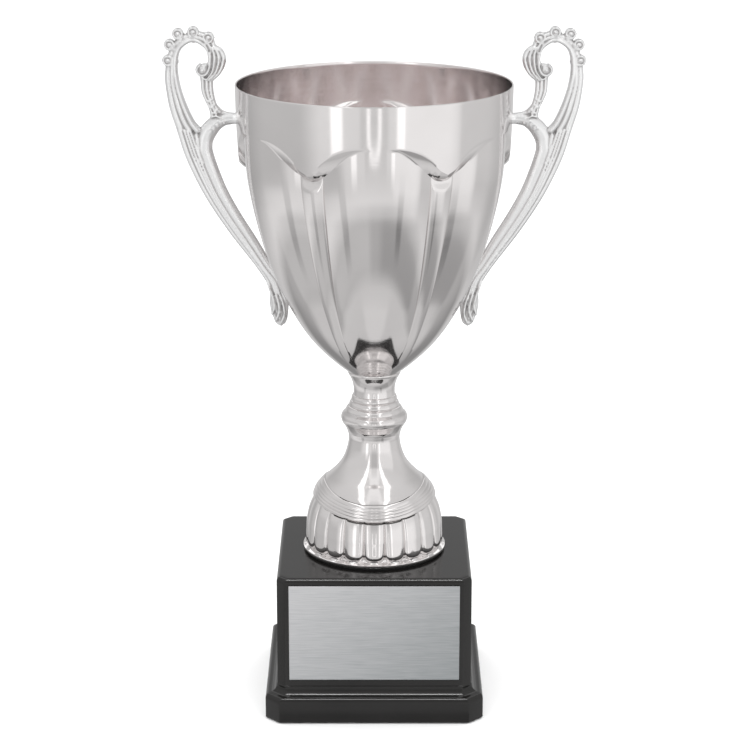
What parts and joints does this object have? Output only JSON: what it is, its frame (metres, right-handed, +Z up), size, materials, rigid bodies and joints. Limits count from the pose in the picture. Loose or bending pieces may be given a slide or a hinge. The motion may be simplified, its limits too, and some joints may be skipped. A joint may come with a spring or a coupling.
{
  "type": "cup trophy",
  "caption": "Two-handled silver presentation cup with embossed bowl, scroll handles, knopped stem and fluted foot on a stepped black plinth with a blank plate.",
  "frame": {"origin": "on the resting surface, under the middle of the plinth and on the cup's axis", "axes": "+Z up along the cup's axis; -Y out of the front face that carries the name plate; +X towards handle_right"},
  "size_m": [0.2126, 0.14, 0.3523],
  "materials": {
    "silver_plate": "polished silver-coloured plating with a faint haze",
    "cast_silver": "bright cast metal, satin in the hollows, polished on the ridges",
    "steel_fixings": "zinc-plated",
    "black_rubber": "matt",
    "black_plastic": "glossy moulding",
    "cast_stone": "rough cast",
    "cover_board": "pressed hardboard",
    "felt": "short-napped felt",
    "tape_foam": "thin double-sided tape",
    "brushed_plate": "horizontally brushed"
  },
  "bodies": {
    "root": {"bowl": "silver_plate", "handle_left": "cast_silver", "handle_right": "cast_silver", "handle_screws": "steel_fixings", "handle_washers": "steel_fixings", "neck_knop": "silver_plate", "bell_stem": "silver_plate", "gadroon_foot": "silver_plate", "foot_gasket": "black_rubber", "tie_rod": "steel_fixings", "bowl_washer": "steel_fixings", "bowl_cap_nut": "steel_fixings", "clamp_plate": "steel_fixings", "spring_washer": "steel_fixings", "clamp_nut": "steel_fixings", "plinth_shell": "black_plastic", "ballast_block": "cast_stone", "base_cover": "cover_board", "cover_screws": "steel_fixings", "felt_pad": "felt", "plate_tape": "tape_foam", "name_plate": "brushed_plate"}
  },
  "joints": []
}
